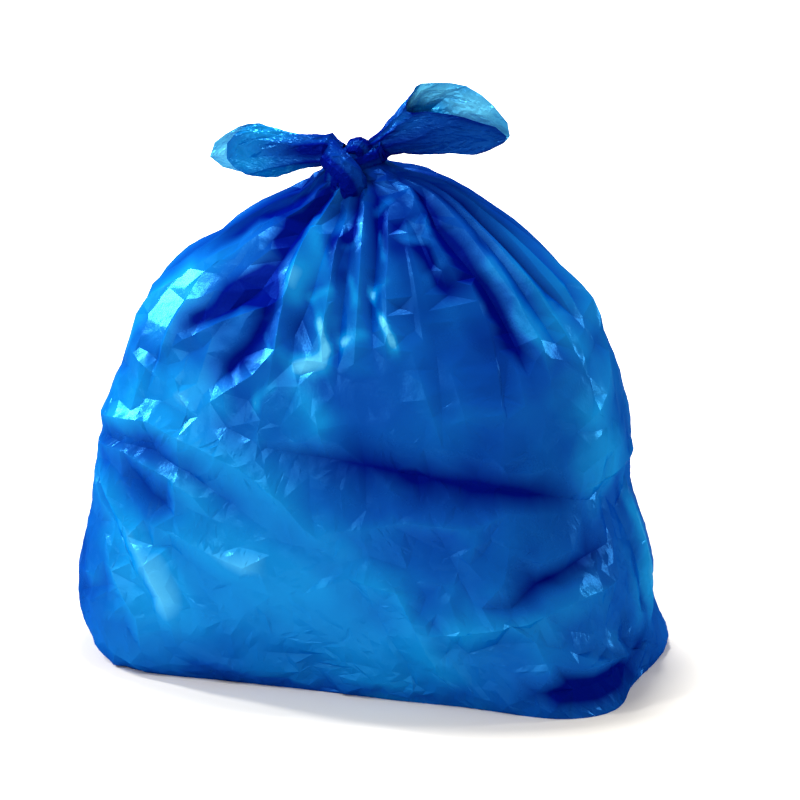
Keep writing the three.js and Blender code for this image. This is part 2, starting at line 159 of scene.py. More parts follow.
# large folds: rise or depth and the width at both ends in mm, path in degrees and percent of the height
bodyFolds = [
    (5, 5, 18, [(244, 97), (224, 89), (218, 81), (210, 73), (192, 62)]),
    (7, 6, 24, [(250, 98), (234, 90), (223, 80), (228, 73), (228, 64), (227, 59)]),
    (-9, 6, 26, [(256, 98), (246, 91), (250, 85), (249, 78), (242, 73), (230, 67)]),
    (10, 6, 16, [(266, 98), (258, 90), (260, 80), (261, 73), (262, 68), (262, 52)]),
    (-4, 5, 12, [(272, 98), (268, 88), (267, 79), (265, 71)]),
    (5, 5, 15, [(274, 98), (272, 86), (271, 72), (270, 65)]),
    (-4, 5, 13, [(278, 98), (276, 88), (274, 71), (274, 66)]),
    (5, 5, 15, [(282, 98), (280, 88), (278, 70), (277, 64)]),
    (-5, 5, 15, [(289, 98), (285, 87), (282, 78), (282, 70)]),
    (5, 5, 15, [(298, 98), (292, 91), (287, 81), (286, 73), (287, 67)]),
    (4, 5, 16, [(304, 98), (298, 88), (298, 77)]),
    (-5, 10, 22, [(302, 90), (303, 82), (308, 78)]),
    (6, 5, 14, [(316, 98), (309, 94), (309, 87), (310, 82)]),
    (-9, 5, 15, [(318, 98), (313, 91), (320, 81), (322, 73), (324, 62)]),
    (6, 5, 15, [(326, 98), (326, 86), (330, 72), (330, 62)]),
    (-4, 5, 14, [(333, 98), (333, 90), (334, 78), (337, 67)]),
    (6, 5, 15, [(340, 98), (338, 92), (338, 77), (346, 62)]),
    (-7, 5, 16, [(348, 98), (343, 91), (346, 80), (356, 68)]),
    (5, 5, 14, [(356, 98), (352, 91), (354, 80), (356, 70)]),
    (-6, 5, 16, [(8, 98), (9, 90), (11, 82), (16, 73)]),
    (5, 8, 14, [(260, 77), (245, 72), (230, 65)]),
    (-6, 8, 20, [(255, 77), (255, 71), (252, 66), (246, 58)]),
    (6, 8, 16, [(262, 68), (258, 63), (246, 55)]),
    (7, 8, 16, [(3, 65), (352, 59), (338, 54)]),
    (5, 8, 14, [(12, 44), (352, 43), (336, 42)]),
    (-7, 14, 22, [(264, 50), (284, 48), (300, 46), (326, 43), (356, 38)]),
    (5, 14, 20, [(272, 35), (286, 38), (304, 37), (312, 40), (335, 39)]),
    (9, 12, 28, [(196, 47), (232, 51), (252, 48), (262, 45), (268, 40), (274, 26)]),
    (-6, 10, 20, [(197, 44), (235, 46), (248, 43), (257, 39), (266, 34)]),
    (6, 8, 20, [(198, 42), (226, 44), (242, 42), (250, 39), (256, 34)]),
    (-6, 14, 20, [(228, 41), (237, 37), (246, 35)]),
    (6, 7, 12, [(236, 32), (250, 30), (261, 27), (268, 25)]),
    (6, 8, 20, [(199, 40), (217, 35), (228, 30), (240, 24), (249, 17), (255, 8)]),
    (-5, 8, 18, [(203, 38), (218, 31), (232, 25), (244, 18), (250, 11)]),
    (5, 8, 14, [(226, 23), (234, 18), (244, 12), (246, 3)]),
    (6, 14, 20, [(274, 26), (282, 24), (284, 16), (284, 4)]),
    (7, 12, 18, [(286, 16), (296, 17), (314, 19), (334, 22), (358, 23)]),
    (-8, 10, 18, [(310, 22), (319, 26), (339, 29), (356, 30)]),
    (6, 8, 16, [(314, 18), (316, 10), (314, 3)]),
    (5, 8, 14, [(359, 23), (0, 14), (0, 6)]),
    (-9, 12, 18, [(308, 5), (330, 5), (356, 6)]),
    (6, 8, 12, [(326, 8), (344, 8), (0, 7)]),
    (7, 10, 14, [(4, 36), (6, 22), (4, 14), (0, 5)]),
    (7, 8, 26, [(28, 52), (60, 43), (84, 27)]),
    (-8, 14, 20, [(160, 51), (120, 48), (78, 50), (40, 46)]),
    (7, 8, 24, [(150, 39), (124, 27), (104, 9)]),
    (-7, 10, 22, [(58, 27), (82, 19), (120, 15)]),
    (8, 10, 18, [(36, 21), (48, 12), (54, 3)]),
    (-8, 10, 16, [(140, 13), (128, 8), (120, 2)]),
    (9, 9, 14, [(172, 43), (168, 27), (162, 10)]),
    (5, 8, 10, [(100, 34), (72, 32), (48, 34)]),
]

# broad swellings and hollows: degrees, percent of the height, rise and spread in mm
bodySwellings = [
    (326, 1, 24, 56),
    (236, 1, 12, 60),
    (200, 25, 5, 80),
    (214, 68, 6, 56),
    (262, 20, 5, 90),
    (292, 41, -7, 74),
    (330, 26, 8, 70),
    (345, 67, 8, 52),
    (60, 56, 7, 80),
    (96, 74, -6, 60),
    (120, 29, 8, 90),
    (150, 59, 6, 64),
]

# the gathers on the side that the photograph doesn't show
backGathers = {
    "count": 26,  # all round the bag, of which half are made
    "from": 4,  # degrees
    "depth": 8,
    "reach": 34,  # percent of the height
    "width": 24,
    "pinch": 5,  # width at the knot
    "drift": 7,  # degrees
    "reachScatter": 0.38,
    "depthScatter": 0.4,
    "widthScatter": 0.3,
    "valley": 0.9,  # how deep a valley is, as a share of the crests' height
}

# small sharp creases in the same form as the large folds
fineFolds = [
    (4, 6, 10, [(237, 63), (236, 59), (244, 55)]),
    (3, 6, 8, [(206, 62), (232, 59), (253, 52), (265, 42)]),
    (4, 10, 14, [(268, 62), (270, 57), (272, 51)]),
    (4, 6, 8, [(2, 48), (348, 48), (335, 45)]),
    (3, 6, 8, [(356, 54), (343, 51), (334, 48)]),
    (5, 6, 14, [(199, 38), (210, 33), (225, 28), (237, 22), (246, 15)]),
    (4, 6, 10, [(228, 6), (239, 4), (247, 3)]),
    (3, 4, 6, [(286, 18), (291, 22), (297, 26)]),
    (3, 5, 8, [(298, 32), (308, 36)]),
    (2.4, 5, 8, [(276, 76), (276, 71), (274, 65)]),
    (2.6, 5, 8, [(286, 81), (285, 75), (285, 68)]),
    (2.5, 6, 12, [(272, 77), (270, 71), (268, 64)]),
    (3, 8, 12, [(266, 66), (270, 67), (274, 66)]),
    (3, 3, 5, [(316, 97), (303, 92), (304, 85)]),
    (3, 3, 5, [(322, 97), (307, 90), (306, 81)]),
    (3, 4, 7, [(331, 88), (328, 76), (331, 66)]),
    (3, 4, 6, [(336, 94), (336, 84), (341, 74)]),
    (3, 4, 6, [(350, 92), (349, 82), (352, 72)]),
]

# creases that the pull of the knot and the shifting contents leave in the film
seededCreases = {
    "seed": 7,
    # these run out of the knot: rise and width in mm, top and length in percent of the height
    "pulled": 80,
    "pulledRise": 2.2,
    "pulledWidth": 9,
    "pulledShares": (0.7, 1.4),  # least and greatest share of that width
    "pulledTop": (52, 96),
    "pulledLength": (8, 26),
    "pulledDrift": 4,  # degrees
    "pulledLowest": 10,
    "pinched": 0.35,  # size beside the knot, as a share of that further off
    "pinchTop": 98,
    "pinchReach": 26,
    # these lie every way in the slack film: heights in percent, length in mm
    "slack": 110,
    "slackRise": 2.0,
    "slackWidth": 11,
    "slackShares": (0.6, 1.5),
    "slackHeight": (3, 72),
    "slackLength": (24, 90),
    "slackRadius": 220,  # mm, of the bag, by which a length becomes an angle
    "slackRange": (2, 90),
    "least": 0.4,  # the smallest rise, as a share of the largest
    "startWidth": (0.7, 0.6),  # width at the start, as a share, of a pulled and of a slack crease
}

# the film is a net of flat facets: creases are its edges, strewn points its other corners
filmNet = {
    "seed": 5,
    "hemCorners": 110,
    "tieCorners": 26,
    "creaseStep": 15,  # mm between corners along a crease
    "spacing": 26,  # mm between strewn corners on the belly
    "tieSpacing": 3,  # mm between them beside the knot
    "spacingGrowth": 0.14,  # how much they draw apart as the bag widens
    "besideCrease": 0.55,  # how close they may come to a crease, as a share of that
    "creaseRange": (0.02, 0.985),  # levels between which creases run
    "strewn": 9000,  # places tried
    "rise": 1.3,  # mm that a strewn corner may stand out or in
    "tautShare": 0.15,  # as much of that as the film beside the knot has
    "slackBelow": 0.72,  # share of the height where the film begins to slacken
    "slackFade": 0.3,
    "crumple": 0.03,  # how far the middle of an edge moves, as a share of its length
    "settledEdge": 13,  # mm, the longest edge while the film settles
    "finestEdge": 5.8,  # mm, the longest edge of the finished film
    "sharpAngle": 9,  # degrees between facets that show a crisp edge
    "underRings": 5,
}


def levelTable(form):
    reaches = [form[side] / 100 for side in ("left", "right", "front", "back")]
    return np.array(form["levels"]) * [form["height"] / 100, 1, *reaches, 1]


def through(values, t):
    # a smooth curve through evenly spaced values
    values = np.asarray(values, float)
    last = len(values) - 1
    place = np.clip(t, 0, 1) * last
    i = np.minimum(place.astype(int), last - 1)
    w = (place - i).reshape(place.shape + (1,) * (values.ndim - 1))
    before, here, there, after = (values[np.clip(i + k, 0, last)] for k in (-1, 0, 1, 2))
    out, into = (there - before) / 2, (after - here) / 2
    cube = 2 * here - 2 * there + out + into
    square = -3 * here + 3 * there - 2 * out - into
    return cube * w**3 + square * w**2 + out * w + here


bodyLevels = levelTable(bodyForm)
levelSteps = np.linspace(0, 1, 3000)
levelHeights = through(bodyLevels[:, 0], levelSteps)


def smoothStep(share):
    share = np.clip(share, 0, 1)
    return share * share * (3 - 2 * share)


def smoothFilm(angle, t):
    height, shift, left, right, front, back, squareness = np.moveaxis(through(bodyLevels, t), -1, 0)
    across, along = np.cos(angle), np.sin(angle)
    power = 2 / squareness
    x = shift + np.sign(across) * np.where(across > 0, right, left) * np.abs(across) ** power
    y = np.sign(along) * np.where(along > 0, back, front) * np.abs(along) ** power
    return np.stack([x, y, height + 0 * x], -1)


def outwardAt(angle, t):
    step = 1e-3
    sideways = smoothFilm(angle + step, t) - smoothFilm(angle - step, t)
    upward = smoothFilm(angle, np.minimum(t + step, 1)) - smoothFilm(angle, np.maximum(t - step, 0))
    normal = np.cross(sideways, upward)
    return normal / np.linalg.norm(normal, axis=-1, keepdims=True)


def levelOf(percent):
    return np.interp(np.asarray(percent) * bodyForm["height"] / 100, levelHeights, levelSteps)


def walked(path):
    # a path's angles and levels in short steps, the short way round the bag
    pieces = bodyForm["pathPieces"]
    angle, up = path[0]
    angles, ups = [angle], [up]
    for nextAngle, nextUp in path[1:]:
        swing = (nextAngle - angle + 180) % 360 - 180
        for k in range(1, pieces + 1):
            angles.append(angle + swing * k / pieces)
            ups.append(up + (nextUp - up) * k / pieces)
        angle, up = angle + swing, nextUp
    return np.radians(angles), levelOf(ups)


def foldLift(points, fold, softness=0.0):
    # a crest along the fold's path that fades to both sides and both ends
    rise, startWidth, endWidth, path = fold
    laid = smoothFilm(*walked(path))
    widest = max(startWidth, endWidth)
    lift = np.zeros(len(points))
    centre = laid.mean(0)
    radius = np.linalg.norm(laid - centre, axis=1).max() + widest
    near = np.nonzero(((points - centre) ** 2).sum(1) < radius**2)[0]
    if not len(near):
        return lift
    p = points[near]
    best = np.full(len(near), np.inf)
    place = np.zeros(len(near))
    segments = len(laid) - 1
    for i in range(segments):
        step = laid[i + 1] - laid[i]
        share = np.clip((p - laid[i]) @ step / max(step @ step, 1e-9), 0, 1)
        distance = np.linalg.norm(p - laid[i] - share[:, None] * step, axis=1)
        closer = distance < best
        best = np.where(closer, distance, best)
        place = np.where(closer, (i + share) / segments, place)
    reach = startWidth + (endWidth - startWidth) * place
    start = bodyForm["foldStart"]
    begun = start + smoothStep(place / bodyForm["foldStartFade"]) * (1 - start)
    ends = np.minimum(begun, smoothStep((1 - place) / bodyForm["foldEndFade"]))
    soft = reach * softness
    rounded = np.hypot(best, soft) - soft
    depth = rise * (reach / widest) ** bodyForm["foldPinch"]
    lift[near] = depth * ends * np.clip(1 - rounded / reach, 0, 1)
    return lift


def wobble(i):
    # a repeatable scatter between -1 and 1
    return math.sin(i * 12.9898 + 4.1) * math.cos(i * 78.233)


def gathersBehind(gathers):
    made = []
    pitch = 360 / gathers["count"]
    top = bodyForm["heldFrom"]
    for i in range(gathers["count"] // 2):
        angle = gathers["from"] + (i + 0.5) * pitch
        drift = gathers["drift"] * wobble(i)
        reach = gathers["reach"] * (1 + gathers["reachScatter"] * wobble(i + 20))
        depth = gathers["depth"] * (1 + gathers["depthScatter"] * wobble(i + 40))
        width = gathers["width"] * (1 + gathers["widthScatter"] * wobble(i + 60))
        for offset, rise in ((0, depth), (pitch / 2, -depth * gathers["valley"])):
            path = [(angle + offset + drift * k / 2, top - reach * k / 2) for k in range(3)]
            made.append((rise, gathers["pinch"], width, path))
    return made


def seedCreases(creases):
    rng = np.random.default_rng(creases["seed"])
    made = []

    def scattered(kind):
        # a rise to either side, and a width
        rise = creases[kind + "Rise"] * rng.uniform(creases["least"], 1) * rng.choice([-1, 1])
        return rise, creases[kind + "Width"] * rng.uniform(*creases[kind + "Shares"])

    pulledStart, slackStart = creases["startWidth"]
    for _ in range(creases["pulled"]):
        angle, top = rng.uniform(0, 360), rng.uniform(*creases["pulledTop"])
        drift, length = rng.normal(0, creases["pulledDrift"]), rng.uniform(*creases["pulledLength"])
        rise, width = scattered("pulled")
        free = min((creases["pinchTop"] - top) / creases["pinchReach"], 1)
        near = creases["pinched"] + (1 - creases["pinched"]) * free
        path = [(angle, top), (angle + drift, max(top - length, creases["pulledLowest"]))]
        made.append((rise * near, width * near * pulledStart, width * near, path))
    lowest, highest = creases["slackRange"]
    for _ in range(creases["slack"]):
        angle, up = rng.uniform(0, 360), rng.uniform(*creases["slackHeight"])
        length, heading = rng.uniform(*creases["slackLength"]), rng.uniform(0, math.pi)
        swing = math.degrees(math.cos(heading) * length / creases["slackRadius"])
        rise, width = scattered("slack")
        end = min(max(up + math.sin(heading) * length * 100 / bodyForm["height"], lowest), highest)
        made.append((rise, width * slackStart, width, [(angle, up), (angle + swing, end)]))
    return made


def crumple(points):
    # creased planes all over: sharp waves that cross each other
    form = bodyForm
    total = 0
    for i, way in enumerate(form["crumpleWays"]):
        phase = points @ np.array(way) / (form["crumpleSize"] * (1 + form["crumpleGrowth"] * i))
        total = total + np.abs((phase + form["crumpleShift"] * i) % 1 - 0.5) * 4 - 1
    return form["crumpleDepth"] * total * 2 / len(form["crumpleWays"])


def liftedFilm(angles, levels, folds):
    # the smooth film, its outward ways, how far the folds lift it, and how free the knot leaves it
    film = smoothFilm(angles, levels)
    outward = outwardAt(angles, levels)
    lift = crumple(film)
    for angle, up, rise, spread in bodySwellings:
        centre = smoothFilm(np.radians([angle]), levelOf([up]))[0]
        lift += rise * np.exp(-((film - centre) ** 2).sum(1) / spread**2)
    folded = sum(foldLift(film, fold) for fold in folds)
    percent = film[:, 2] * 100 / bodyForm["height"]
    free = smoothStep((bodyForm["heldAt"] - percent) / (bodyForm["heldAt"] - bodyForm["heldFrom"]))
    return film, outward, lift + folded, free, folded


def unroll():
    # tables that spread the film out as a disc round the knot and keep its proportions
    t = np.linspace(0, 1, 900)
    angles = np.linspace(0, turn, 721)
    film = smoothFilm(angles[None], t[:, None])
    steps = np.linalg.norm(np.diff(film, axis=1), axis=2)
    radius = steps.sum(1) / turn
    climb = np.linalg.norm(np.diff(film, axis=0), axis=2).mean(1)
    between = (radius[1:] + radius[:-1]) / 2
    grown = np.r_[np.cumsum((climb / between)[::-1])[::-1], 0]
    area = np.r_[0, np.cumsum(climb * between)]
    belly = steps[len(t) // 4]
    share = np.r_[0, np.cumsum(belly)] / belly.sum() * turn
    area /= area[-1]
    return {"t": t, "radius": radius, "grown": grown, "area": area, "angles": angles, "share": share}


def onDisc(disc, angle, t):
    out = np.exp(np.interp(t, disc["t"], disc["grown"]))
    share = np.interp(angle % turn, disc["angles"], disc["share"])
    return np.stack([out * np.cos(share), out * np.sin(share)], -1)


def fromDisc(disc, place):
    grown = np.log(np.linalg.norm(place, axis=1))
    t = np.interp(grown, disc["grown"][::-1], disc["t"][::-1])
    share = np.arctan2(place[:, 1], place[:, 0]) % turn
    return np.interp(share, disc["share"], disc["angles"]), t


def strewCorners(net, disc, creased):
    # corners strewn over the film, none too close to another or to a crease
    rng = np.random.default_rng(net["seed"])
    t = np.interp(rng.uniform(size=net["strewn"]), disc["area"], disc["t"])
    angle = np.interp(rng.uniform(0, turn, net["strewn"]), disc["share"], disc["angles"])
    spacing = net["tieSpacing"] + net["spacingGrowth"] * np.interp(t, disc["t"], disc["radius"])
    spacing = np.minimum(spacing, net["spacing"])
    film = smoothFilm(angle, t)
    taken = np.vstack([creased, np.full((len(film), 3), 1e6)])
    fromCrease = np.where(np.arange(len(taken)) < len(creased), net["besideCrease"], 1)
    kept = []
    count = len(creased)
    for i, point in enumerate(film):
        distance = np.linalg.norm(taken[:count] - point, axis=1)
        if (distance > spacing[i] * fromCrease[:count]).all():
            taken[count] = point
            count += 1
            kept.append(i)
    return angle[kept], t[kept]


def makeNet(net, folds):
    # corners as angle and level, whether each is a strewn one, the faces, and the hem's corners
    disc = unroll()
    even = np.arange(net["hemCorners"]) / net["hemCorners"] * turn
    hem = np.interp(even, disc["share"], disc["angles"])
    tie = np.arange(net["tieCorners"]) / net["tieCorners"] * turn
    angles, levels, edges = [hem, tie], [0 * hem, 0 * tie + 1], []
    count = len(hem) + len(tie)
    for *_, path in folds:
        angle, t = walked(path)
        t = np.clip(t, *net["creaseRange"])
        travelled = np.r_[0, np.cumsum(np.linalg.norm(np.diff(smoothFilm(angle, t), axis=0), axis=1))]
        parts = max(round(travelled[-1] / net["creaseStep"]), 1)
        even = np.linspace(0, travelled[-1], parts + 1)
        angles.append(np.interp(even, travelled, angle))
        levels.append(np.interp(even, travelled, t))
        edges += [(count + i, count + i + 1) for i in range(parts)]
        count += parts + 1
    creased = smoothFilm(np.concatenate(angles), np.concatenate(levels))
    strewnAngles, strewnLevels = strewCorners(net, disc, creased)
    angle = np.concatenate([*angles, strewnAngles])
    t = np.concatenate([*levels, strewnLevels])
    flat = [Vector(place) for place in onDisc(disc, angle, t)]
    places, _, faces, sources, *_ = delaunay_2d_cdt(flat, edges, [], 0, 1e-6)
    newAngle, newT = fromDisc(disc, np.array([tuple(p) for p in places]))
    strewn = np.zeros(len(places), bool)
    hemAt = np.zeros(net["hemCorners"], int)
    for i, source in enumerate(sources):
        if source:
            newAngle[i], newT[i] = angle[source[0]], t[source[0]]
            strewn[i] = source[0] >= count
            if source[0] < len(hem):
                hemAt[source[0]] = i
    return newAngle, newT, strewn, np.array(faces), hemAt


def refine(corners, faces, longest, crumpling, rng):
    # halves every edge that is too long, and moves its middle a little in or out
    while True:
        pairs = np.sort(faces[:, [0, 1, 1, 2, 2, 0]].reshape(-1, 2), 1)
        keys, which = np.unique(pairs[:, 0] * len(corners) + pairs[:, 1], return_inverse=True)
        ends = corners[np.stack([keys // len(corners), keys % len(corners)], 1)]
        length = np.linalg.norm(ends[:, 0, :3] - ends[:, 1, :3], axis=1)
        split = length > longest
        if not split.any():
            return corners, faces
        middles = ends[split].mean(1)
        moves = rng.uniform(-1, 1, len(middles)) * crumpling * length[split] * middles[:, 9]
        middles[:, :3] += middles[:, 6:9] * moves[:, None]
        number = np.full(len(keys), -1)
        number[split] = len(corners) + np.arange(len(middles))
        corners = np.vstack([corners, middles])
        halves = number[which].reshape(-1, 3)
        splits = (halves >= 0).sum(1)

        def turned(rows, first):
            order = (first[:, None] + np.arange(3)) % 3
            both = (np.take_along_axis(table[rows], order, 1).T for table in (faces, halves))
            return [column for columns in both for column in columns]

        once, twice, thrice = (splits == k for k in (1, 2, 3))
        parts = [faces[splits == 0]]
        a, b, c, ab, _, _ = turned(once, (halves[once] >= 0).argmax(1))
        parts += [np.stack(part, 1) for part in ((a, ab, c), (ab, b, c))]
        a, b, c, ab, bc, _ = turned(twice, (halves[twice] >= 0).argmin(1) + 1)
        parts += [np.stack(part, 1) for part in ((ab, b, bc), (a, ab, bc), (a, bc, c))]
        a, b, c, ab, bc, ca = turned(thrice, np.zeros(thrice.sum(), int))
        parts += [np.stack(part, 1) for part in ((a, ab, ca), (ab, b, bc), (ca, bc, c), (ab, bc, ca))]
        faces = np.vstack(parts)


def meshFrom(name, points, faces):
    mesh = bpy.data.meshes.new(name)
    mesh.from_pydata([tuple(p) for p in points], [], faces)
    mesh.update()
    piece = bpy.data.objects.new(name, mesh)
    bpy.context.scene.collection.objects.link(piece)
    mesh.shade_smooth()
    return piece


def setAttribute(piece, name, values):
    attribute = piece.data.attributes.new(name, "FLOAT", "POINT")
    attribute.data.foreach_set("value", np.asarray(values, np.float32).ravel())


def choose(*pieces):
    bpy.ops.object.select_all(action="DESELECT")
    for piece in pieces:
        piece.select_set(True)
    bpy.context.view_layer.objects.active = pieces[0]


def showEdges(piece, degrees):
    # facets that meet at more than this angle keep a crisp edge between them
    choose(piece)
    bpy.ops.object.shade_smooth_by_angle(angle=math.radians(degrees))


# how the film settles: it is cut a little larger than the space it fills, so it buckles
settling = {
    "frames": 20,
    "cloth": {
        "vertex_group_mass": "held",
        "quality": 6,
        "mass": 0.05,  # kg for each point
        "air_damping": 3,
        "tension_stiffness": 12,
        "compression_stiffness": 12,
        "shear_stiffness": 4,
        "bending_stiffness": 0.02,
        "shrink_min": -0.05,  # below 0, the share by which the film is longer than the form
        "use_pressure": True,
        "uniform_pressure_force": 1.2,
    },
    "heldBelow": 2,  # mm above the floor
    "furthest": 3,  # mm that any point may move
}


def settle(corners, faces):
    # the net blown out as cloth, each corner moved a few mm at most
    points = corners[:, :3] * mm
    sheet = meshFrom("settlingFilm", points, faces.tolist())
    low, high = settling["heldBelow"] * mm, bodyForm["heldFrom"] / 100 * bodyForm["height"] * mm
    held = [i for i, z in enumerate(points[:, 2]) if z < low or z > high]
    sheet.vertex_groups.new(name="held").add(held, 1.0, "REPLACE")
    bpy.context.view_layer.objects.active = sheet
    cloth = sheet.modifiers.new("Cloth", "CLOTH").settings
    for name, value in settling["cloth"].items():
        setattr(cloth, name, value)
    cloth.effector_weights.gravity = 0
    scene = bpy.context.scene
    for step in range(1, settling["frames"] + 1):
        scene.frame_set(step)
    ready = sheet.evaluated_get(bpy.context.evaluated_depsgraph_get())
    moved = np.empty(len(points) * 3)
    ready.data.vertices.foreach_get("co", moved)
    scene.frame_set(1)
    bpy.data.objects.remove(sheet)
    move = (moved.reshape(-1, 3) - points) / mm
    length = np.linalg.norm(move, axis=1, keepdims=True)
    print("film settled: moves of", round(float(length.mean()), 1), "mm on average")
    furthest = settling["furthest"]
    corners = corners.copy()
    corners[:, :3] += move * furthest * np.tanh(length / furthest) / np.maximum(length, 1e-6)
    return corners


# painted shade where the film is dark and painted highlights where it is pale, among darker doubled and
# paler single film: tone, width at both ends in mm, path
filmTones = [
    (1.2, 14, 26, [(231, 66), (236, 72), (242, 77), (250, 79), (257, 81)]),
    (0.9, 20, 34, [(250, 62), (256, 66), (260, 70), (261, 79), (259, 85)]),
    (0.8, 10, 24, [(244, 95), (237, 91), (231, 87)]),
    (0.6, 8, 24, [(226, 97), (212, 91), (206, 85), (206, 80)]),
    (0.45, 10, 34, [(300, 97), (299, 90), (303, 83)]),
    (0.5, 34, 60, [(271, 50), (279, 47), (292, 44), (318, 42), (353, 37)]),
    (0.4, 8, 22, [(321, 98), (306, 89), (314, 81), (318, 72), (319, 66)]),
    (0.7, 6, 14, [(270, 94), (273, 86), (273, 78)]),
    (0.5, 14, 34, [(293, 90), (292, 81), (292, 71)]),
    (0.3, 30, 44, [(228, 44), (239, 39), (250, 34)]),
    (0.5, 24, 30, [(282, 20), (295, 19)]),
    (0.3, 8, 14, [(353, 29), (329, 28), (306, 23), (302, 19)]),
    (0.3, 8, 14, [(357, 22), (324, 21), (314, 19)]),
    (0.7, 10, 14, [(256, 2), (269, 0), (274, 2), (294, 3)]),
    (0.9, 20, 30, [(310, 7), (332, 5), (350, 5), (8, 9)]),
    (0.6, 8, 14, [(359, 40), (2, 27), (0, 11), (0, 4)]),
    (0.5, 14, 22, [(197, 28), (207, 18), (226, 6)]),
    (0.25, 50, 70, [(305, 87), (312, 74), (312, 58)]),
    (-0.9, 60, 80, [(236, 20), (264, 19), (271, 13), (278, 8), (303, 6)]),
    (-0.7, 34, 40, [(241, 43), (256, 38), (269, 28), (273, 20)]),
    (-1.6, 9, 20, [(268, 94), (266, 88), (264, 81), (264, 73)]),
    (-1.1, 18, 34, [(194, 62), (213, 73), (218, 79)]),
    (-0.9, 24, 36, [(204, 51), (237, 56), (257, 57)]),
    (-0.7, 20, 30, [(337, 76), (358, 65)]),
    (-0.8, 24, 40, [(339, 60), (359, 39)]),
    (-0.8, 20, 34, [(201, 39), (224, 30), (243, 20), (257, 6)]),
    (-0.9, 14, 24, [(4, 37), (5, 25), (10, 11)]),
    # painted highlights: thin light lines along ridges and glints at the gathers' lower ends
    (-1.3, 3, 9, [(276, 95), (277, 83), (276, 73), (275, 67)]),
    (-1.3, 3, 7, [(295, 98), (286, 87), (285, 79), (285, 69)]),
    (-0.8, 20, 20, [(268, 62), (272, 53)]),
    (-1.8, 14, 16, [(267, 66), (272, 67)]),
    (-2.3, 5, 9, [(269, 79), (271, 73), (271, 67)]),
    (-2.3, 5, 8, [(284, 81), (285, 74), (286, 67)]),
    (-1.9, 4, 9, [(277, 76), (277, 68)]),
    (-1.3, 5, 6, [(260, 69), (261, 62), (262, 54)]),
    (-0.8, 3, 6, [(323, 99), (301, 92), (304, 86)]),
    (-0.8, 3, 6, [(329, 99), (304, 90), (305, 81)]),
    (-0.7, 5, 10, [(332, 88), (328, 76), (331, 66)]),
    (-0.4, 16, 30, [(338, 95), (347, 84), (353, 73)]),
    (0.6, 30, 60, [(20, 30), (60, 34), (110, 30)]),
    (-0.7, 50, 70, [(40, 14), (90, 16), (140, 18)]),
    (-0.6, 40, 60, [(60, 66), (100, 60), (140, 66)]),
    (0.6, 10, 34, [(70, 96), (74, 82), (66, 68)]),
    (0.6, 10, 34, [(120, 96), (116, 82), (124, 68)]),
    (-0.7, 8, 24, [(96, 95), (94, 80), (90, 70)]),
    (-0.6, 8, 24, [(150, 95), (148, 80), (156, 66)]),
]

# how these places end, and how dark the painted shade of the gathered film is at the knot
toneEdge = {
    "softness": 0.4,
    "stray": 7,  # mm by which an edge is ragged
    "size": 11,
    "ways": [(1, 0.7, 0.9), (-0.8, 1, 0.6), (0.6, -0.9, 1)],
    "atKnot": 0.7,
    "knotFrom": 76,  # percent of the height
    "knotFade": 18,
}


def closeBeneath(corners, faces, hemAt):
    # the underside, in rings that shrink to a point
    hem = corners[hemAt]
    hem[:, 9:] = 0
    hem[:, 6:9] = (0, 0, -1)
    middle = hem.mean(0)
    rings, hemCount, count = filmNet["underRings"], len(hem), len(corners)
    under = [middle + (hem - middle) * (1 - k / rings) for k in range(1, rings)]
    corners = np.vstack([corners, *under, middle[None]])
    corners[hemAt, 9] = 0
    ringAt = [hemAt] + [count + k * hemCount + np.arange(hemCount) for k in range(rings - 1)]
    beneath = []
    for outer, inner in zip(ringAt, ringAt[1:]):
        outerNext, innerNext = np.roll(outer, -1), np.roll(inner, -1)
        beneath += [np.stack([outer, inner, innerNext], 1), np.stack([outer, innerNext, outerNext], 1)]
    centre = np.full(hemCount, len(corners) - 1)
    beneath.append(np.stack([centre, np.roll(ringAt[-1], -1), ringAt[-1]], 1))
    return corners, np.vstack([faces, *beneath])


# the film's painted shade and highlights, among its doubled and single layers
def filmTone(film, shadingAndLayers):
    # each place is looked up a little beside itself, which makes the tones' edges ragged
    edge = toneEdge
    waves = [np.sin(film @ np.array(way) / edge["size"] + i) for i, way in enumerate(edge["ways"])]
    strayed = film + edge["stray"] * np.stack(waves, -1)
    tone = shadingAndLayers + sum(foldLift(strayed, stroke, edge["softness"]) for stroke in filmTones)
    percent = film[:, 2] * 100 / bodyForm["height"]
    # painted shade: the gathers darker towards the knot
    return tone + edge["atKnot"] * smoothStep((percent - edge["knotFrom"]) / edge["knotFade"])


